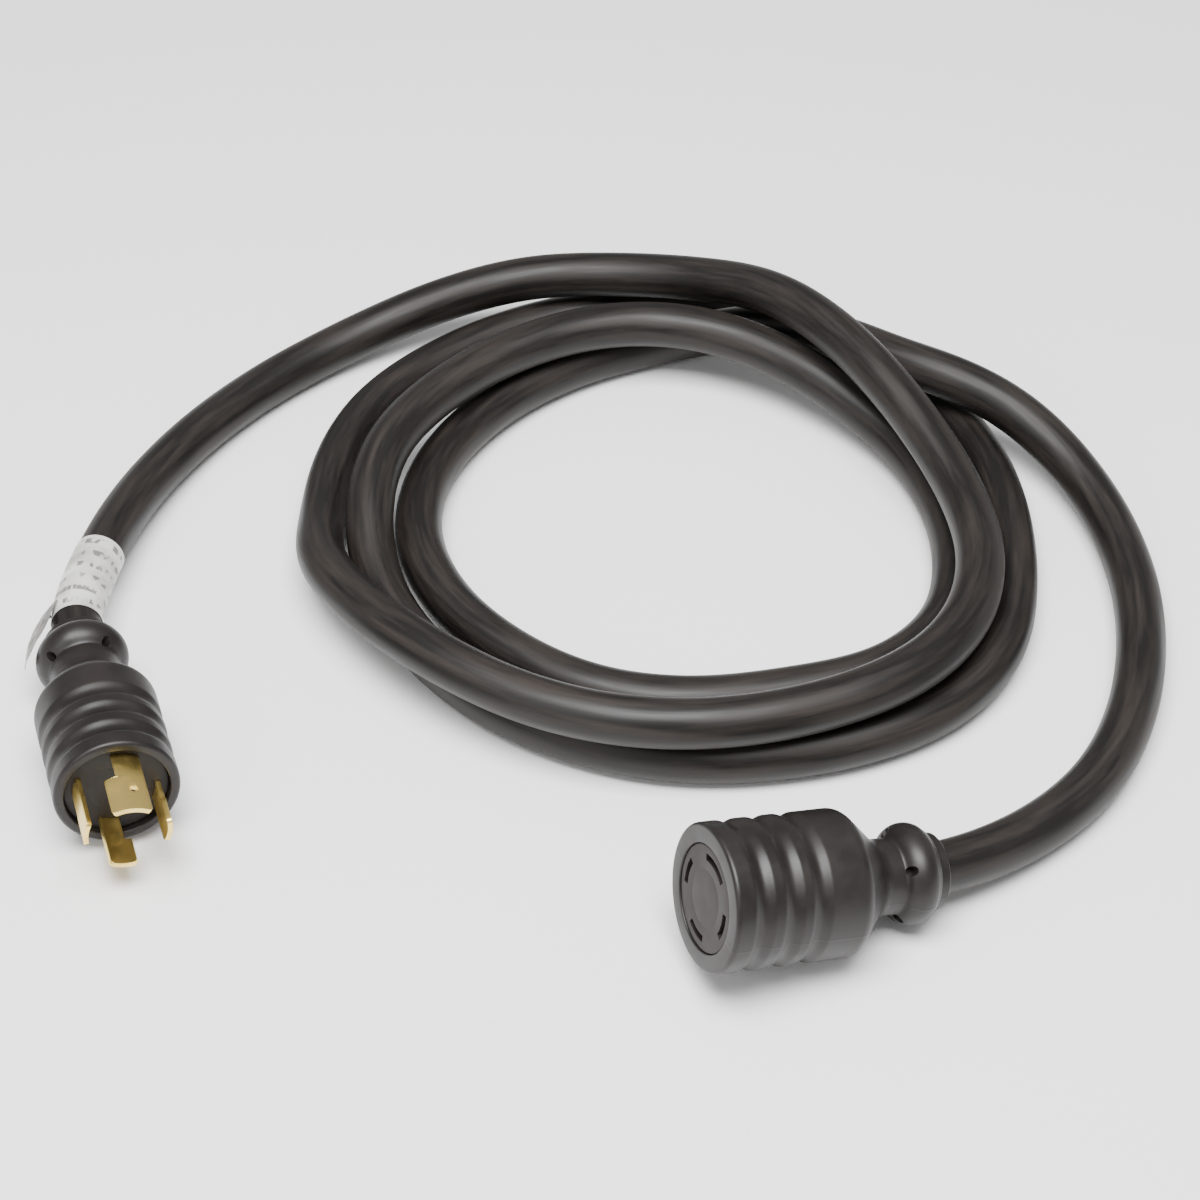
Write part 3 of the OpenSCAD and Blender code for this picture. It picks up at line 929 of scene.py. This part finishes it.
M_JACKET = material("cable_jacket", JACKET, {
    "Base": rgb(0.006, 0.005, 0.0045), "Streak": rgb(0.030, 0.023, 0.019), "Streak Amount": 0.7,
    "Roughness": 0.48, "Lay": 0.5}, bump=0.25, bump_distance=0.0003, specular=0.31)
M_BRASS = material("blade_brass", BRASS, {
    "Base": rgb(0.90, 0.68, 0.22), "Tarnish": rgb(0.58, 0.40, 0.11), "Tarnish Amount": 0.5,
    "Roughness": 0.27}, metal=1.0, bump=0.05, bump_distance=0.0001)
M_FILM = material("label_film", FILM, {
    "Film": rgb(0.66, 0.65, 0.63), "Ink": rgb(0.17, 0.16, 0.15), "Ink Amount": 0.85,
    "Rows": 6.0, "Smudge": 0.75, "Roughness": 0.36})
# the tongue is the same film as the wrap, painted much darker: painted shade
M_TONGUE_PAINTED_SHADE = material("label_tongue", FILM, {
    "Film": rgb(0.20, 0.19, 0.18), "Ink": rgb(0.06, 0.055, 0.05), "Ink Amount": 0.8,
    "Rows": 4.0, "Smudge": 0.6, "Roughness": 0.36})
M_CONTACT = material("contact_brass", color=rgb(0.42, 0.27, 0.12), rough=0.35, metal=1.0)
M_CRIMP = material("crimp_metal", color=rgb(0.6, 0.58, 0.55), rough=0.35, metal=1.0)
M_CORE = material("core_plastic", color=rgb(0.07, 0.06, 0.055), rough=0.6)
WIRE_COLORS = {"green": rgb(0.01, 0.19, 0.04), "black": rgb(0.01, 0.01, 0.01),
               "white": rgb(0.8, 0.79, 0.75), "red": rgb(0.38, 0.01, 0.01)}


def dress(obj, mat, slot, *nodes):
    """Paints a piece, hangs it on the root and hides the CAD parts it stands in for."""
    obj.data.materials.clear()
    obj.data.materials.append(mat)
    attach(obj, "root")
    if nodes:
        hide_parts(*nodes)
    return obj


# ---- The object ----

dress(overmould("plug_overmould_skin", PLUG_BODY_R, PLUG_BODY_BACK, PLUG_COLLAR_R, PLUG),
      M_BODY, "body", "plug_overmould")
dress(overmould("connector_overmould_skin", CONNECTOR_BODY_R, CONNECTOR_BODY_BACK,
                CONNECTOR_COLLAR_R, CONNECTOR),
      M_BODY, "body", "connector_overmould")
dress(plug_bridge(), M_PLUG_FACE, "plug_face", "plug_bridge")
dress(connector_bridge(), M_CONNECTOR_FACE, "connector_face", "connector_bridge")
for pole in range(4):
    dress(blade(pole), M_BRASS, "blade", "plug_blade_" + POLE_NAMES[pole])

line = cable_line()
frames = line_frames(line)
jacket = dress(swept("cable_jacket", line, CABLE_R, 40, M_JACKET), M_JACKET, "jacket", "cable")
wrap = dress(label(frames), M_FILM, "label", "cable_label")
tongue = dress(label_tongue(frames), M_TONGUE_PAINTED_SHADE, "label")

# what is sealed inside keeps the CAD's shape
INNER = {"contact": M_CONTACT, "crimp": M_CRIMP, "core": M_CORE, "cable_end": M_JACKET}
for key, value in WIRE_COLORS.items():
    INNER["wire_" + key] = material("wire_" + key, color=value, rough=0.3)
for node_name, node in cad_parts.items():
    for key, mat in INNER.items():
        if key in node_name:
            node.data.materials.clear()
            node.data.materials.append(mat)

# ---- Floor, light and camera ----

FLOOR_HALF, FLOOR_Z = 4000, -0.3
floor = mesh_object(
    "floor",
    [(x * FLOOR_HALF, y * FLOOR_HALF, FLOOR_Z) for x, y in ((-1, -1), (1, -1), (1, 1), (-1, 1))],
    [(0, 1, 2, 3)])
floor.data.materials.append(material("floor_white", color=rgb(0.93, 0.93, 0.93), rough=0.8,
                                     specular=0.2))

world = bpy.data.worlds.new("studio")
bpy.context.scene.world = world
world.use_nodes = True
world.node_tree.nodes["Background"].inputs["Color"].default_value = rgb(1, 1, 1)
world.node_tree.nodes["Background"].inputs["Strength"].default_value = 0.5


def softbox(name, at, aim, size, power):
    """A rectangular area light. Places and sizes are in metres."""
    lamp = bpy.data.lights.new(name, "AREA")
    lamp.shape = "RECTANGLE"
    lamp.size, lamp.size_y = size
    lamp.energy = power
    obj = bpy.data.objects.new(name, lamp)
    obj.location = at
    obj.rotation_euler = (Vector(aim) - Vector(at)).to_track_quat("-Z", "Y").to_euler()
    bpy.context.collection.objects.link(obj)


softbox("overhead", (0.0, -0.3, 1.4), (0.05, 0.12, 0), (1.1, 0.7), 56)
softbox("front_left", (-0.8, -0.9, 0.8), (0.0, 0.05, 0), (0.6, 0.5), 4.5)

camera = bpy.data.objects.new("camera", bpy.data.cameras.new("camera"))
camera.data.lens = 83.3
camera.data.sensor_width = 36
look_at = Vector((0.043, 0.1215, 0))
camera.location = (0.043, -0.6522, 0.6966)  # 42 degrees above the floor
camera.rotation_euler = (look_at - camera.location).to_track_quat("-Z", "Y").to_euler()
bpy.context.collection.objects.link(camera)
bpy.context.scene.camera = camera
